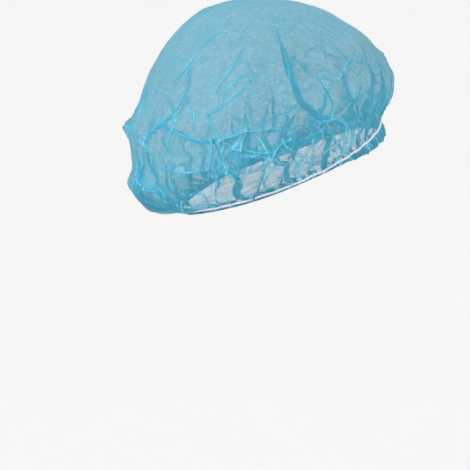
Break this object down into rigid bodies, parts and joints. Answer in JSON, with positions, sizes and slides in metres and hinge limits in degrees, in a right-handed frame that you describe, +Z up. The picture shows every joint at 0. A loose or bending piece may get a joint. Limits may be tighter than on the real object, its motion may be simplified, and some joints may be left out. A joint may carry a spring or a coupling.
{
  "type": "bouffant cap",
  "caption": "Gathered disposable head cover of translucent blue nonwoven, with a white elastic and a ruffled edge, in the form that it has when worn.",
  "frame": {"origin": "centre of the opening that the elastic makes round the head", "axes": "+Z up as worn with the head upright, the wearer faces -Y, and the wearer's right is -X"},
  "size_m": [0.1994, 0.2532, 0.1933],
  "materials": {
    "nonwoven": "matte, translucent, fibrous",
    "elastic": "matte, knitted"
  },
  "bodies": {
    "root": {"crown": "nonwoven", "elastic_band": "elastic", "hem_frill": "nonwoven"}
  },
  "joints": []
}
